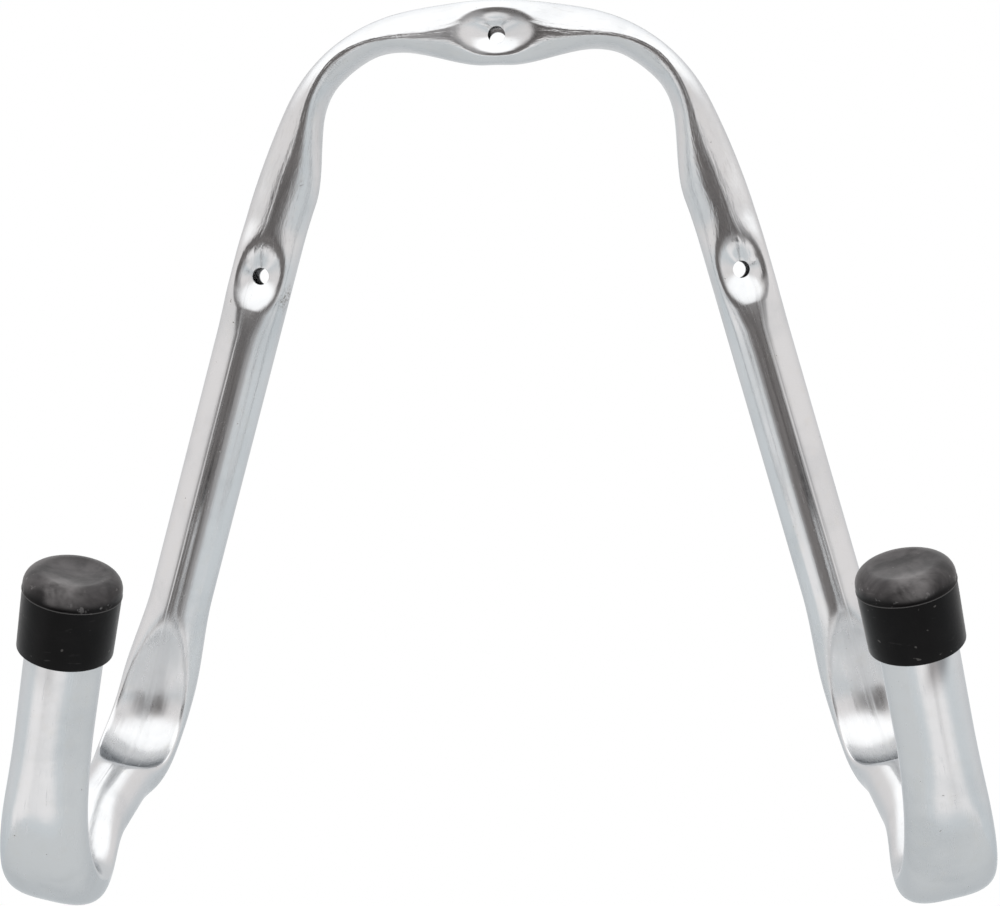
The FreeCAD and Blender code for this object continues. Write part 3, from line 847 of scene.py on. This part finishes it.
# %% Black rubber: colour, roughness and bumps
black = rubber.blend(patches.above(0.4, 0.75), rgb(0.0030, 0.0028, 0.0029), rgb(0.0060, 0.0056, 0.0058))
black = rubber.blend(speck * 0.25, black, rgb(0.24, 0.23, 0.22))
black = rubber.blend(dust, black, rgb(0.074, 0.069, 0.070))
# Painted highlight on the rubbed patch of the shoulder.
black = rubber.blend(rubbed_highlight * 0.7, black, rgb(0.17, 0.162, 0.162))
black = rubber.blend(mould_line * 0.21 + knocks * 0.45, black, rgb(0.30, 0.29, 0.29))
rubber.set("Base Color", rubber.blend(scuff * 0.10, black, rgb(0.22, 0.21, 0.21)))
rubber.set("Roughness", 0.24 + patches * 0.22 + scuff * 0.12 - moulded * 0.04)
rubber.bumps((moulded, 0.014 * MM), (patches, 0.10 * MM), (1 - speck, 0.02 * MM), (1 - knocks, 0.08 * MM))
for cap in (left_cap, right_cap):
    cover(cap, rubber)
print("Rubber nodes in all:", len(rubber.tree.nodes))

# %% [markdown]
# A polished tube is lit by what it mirrors. The photograph looks as if it was taken in a white tent,
# so the world is painted as one, by direction: a bright top, pale sides that turn cooler below, and
# low in front a brighter card, whose lower edge dips in the middle and whose upper edge slopes.

# %% White tent and card
SKY_TOP = 1.7
SKY_SIDE = (1.10, 1.065, 1.055)
SKY_BELOW = (0.87, 0.918, 0.945)
CARD = (1.26, 1.235, 1.23)
CARD_LEFT = math.radians(-88)
CARD_RIGHT = math.radians(88)
CARD_LOW = math.radians(-38.5)
CARD_DROP = math.radians(12.5)
CARD_HIGH = math.radians(-18)
CARD_TILT = math.radians(8)
SOFT = math.radians(8)


class Studio(Finish):
    """The world's shader, put together with the same sums."""

    def __init__(self):
        world = bpy.data.worlds.new("studio")
        bpy.context.scene.world = world
        world.use_nodes = True
        self.material = world
        self.tree = world.node_tree
        self.tree.nodes.clear()

    def light(self, colour, strength):
        """A Background node."""
        return self.node("Background", inputs={"Color": colour, "Strength": strength})


studio = Studio()
direction = studio.place("Generated")
east, north, up = (studio.axis(direction, letter) for letter in "XYZ")
elevation = studio.node("Math", {"operation": "ARCSINE"}, {0: up})
azimuth = studio.node("Math", {"operation": "ARCTAN2"}, {0: east, 1: -1.0 * north})
top = elevation.above(math.radians(15), math.radians(34))
below = (-1.0 * elevation).above(math.radians(-2), math.radians(24))
sides = studio.blend(below, rgb(*SKY_SIDE), rgb(*SKY_BELOW))
sky = studio.blend(top, sides, rgb(SKY_TOP, SKY_TOP, SKY_TOP))
middle = 1 - azimuth.size().above(math.radians(4), math.radians(64))
low_edge = elevation + middle * CARD_DROP
high_edge = elevation + azimuth.above(math.radians(-40), math.radians(40)) * CARD_TILT
card = (1 - high_edge.above(CARD_HIGH - SOFT, CARD_HIGH)) * low_edge.above(CARD_LOW, CARD_LOW + SOFT / 4)
card = card * azimuth.above(CARD_LEFT, CARD_LEFT + SOFT) * (1 - azimuth.above(CARD_RIGHT - SOFT, CARD_RIGHT))
sky = studio.blend(card, sky, rgb(*CARD))
print("World nodes for the tent:", len(studio.tree.nodes))

# %% [markdown]
# The dark streak down every tube is the tent's opening, with the camera in it, and the grey beside
# it is the room. The opening has soft upright stripes, so that the streak isn't one flat tone.

# %% Dark opening and room
OPENING = (0.05, 0.045, 0.045)
OPENING_LIGHT = (0.31, 0.29, 0.283)
ROOM = (0.50, 0.49, 0.49)
OPENING_LEFT = math.radians(-40)
OPENING_RIGHT = math.radians(14)
ROOM_RIGHT = math.radians(33)
OPENING_LOW = math.radians(-33)
OPENING_HIGH = math.radians(20)


def past(angle, edge):
    """Rises from 0 to 1 across a soft edge."""
    return angle.above(edge - SOFT, edge + SOFT)


stripes = studio.clouds(studio.scaled(direction, (14.0, 14.0, 1.2)), 1.0, 4.0, 0.7)
lower = elevation + azimuth.above(math.radians(22), math.radians(28)) * math.radians(5)
tall = past(lower, OPENING_LOW) * (1 - past(elevation, OPENING_HIGH))
opening = past(azimuth, OPENING_LEFT) * (1 - past(azimuth, OPENING_RIGHT))
room = past(azimuth, OPENING_LEFT) * (1 - past(azimuth, ROOM_RIGHT))
inside = studio.blend(stripes.above(0.35, 0.60), rgb(*OPENING), rgb(*OPENING_LIGHT))
dark = studio.blend(opening, rgb(*ROOM), inside)
tent = studio.blend(room * tall, sky, dark)
print("World nodes with the opening:", len(studio.tree.nodes))

# %% [markdown]
# The camera sees plain white. The metal sees the tent, and white only straight behind the hook.
# Light that the metal mirrors a second time meets a brighter, even tent.

# %% What the camera and the metal see
TWICE = 1.5
TWICE_SHARE = 0.9
path = studio.tree.nodes.new("ShaderNodeLightPath")
to_camera = Value(studio, path.outputs["Is Camera Ray"])
in_metal = Value(studio, path.outputs["Is Glossy Ray"])
again = Value(studio, path.outputs["Glossy Depth"]).above(1.2, 1.8)
lit = studio.light(studio.blend(again * TWICE_SHARE, tent, rgb(TWICE, TWICE, TWICE)), 1.0)
white = studio.light(rgb(1.0, 1.0, 1.0), 1.0)
behind = north.above(0.86, 0.97)
shown = studio.node("MixShader", inputs={0: to_camera + in_metal * behind, 1: lit, 2: white})
output = studio.tree.nodes.new("ShaderNodeOutputWorld")
studio.tree.links.new(shown.socket, output.inputs["Surface"])
bpy.context.scene.view_settings.view_transform = "Standard"
print("World nodes in all:", len(studio.tree.nodes))

# %% [markdown]
# The hook hangs on a wall, well above the floor, and the photograph shows neither. A plain pale
# floor lies where it would be, below the photograph's frame, and lights the hook from below. The
# camera sees it paler than the metal does, so that it meets the white background, and it keeps its
# shadow.

# %% Floor
FLOOR_SIZE = 3.4
FLOOR_BACK = 0.95
FLOOR_LEVEL = -1.3
bpy.ops.mesh.primitive_plane_add(size=FLOOR_SIZE, location=(0.0, FLOOR_BACK, FLOOR_LEVEL))
floor = newest("studio_floor")
pale = Finish("pale_floor", 0.0, Roughness=0.7)
rays = pale.tree.nodes.new("ShaderNodeLightPath")
seen_directly = Value(pale, rays.outputs["Is Camera Ray"])
pale.set("Base Color", pale.blend(seen_directly, rgb(0.53, 0.55, 0.558), rgb(0.68, 0.68, 0.68)))
cover(floor, pale)
print("Floor level, mm:", round(FLOOR_LEVEL / MM))
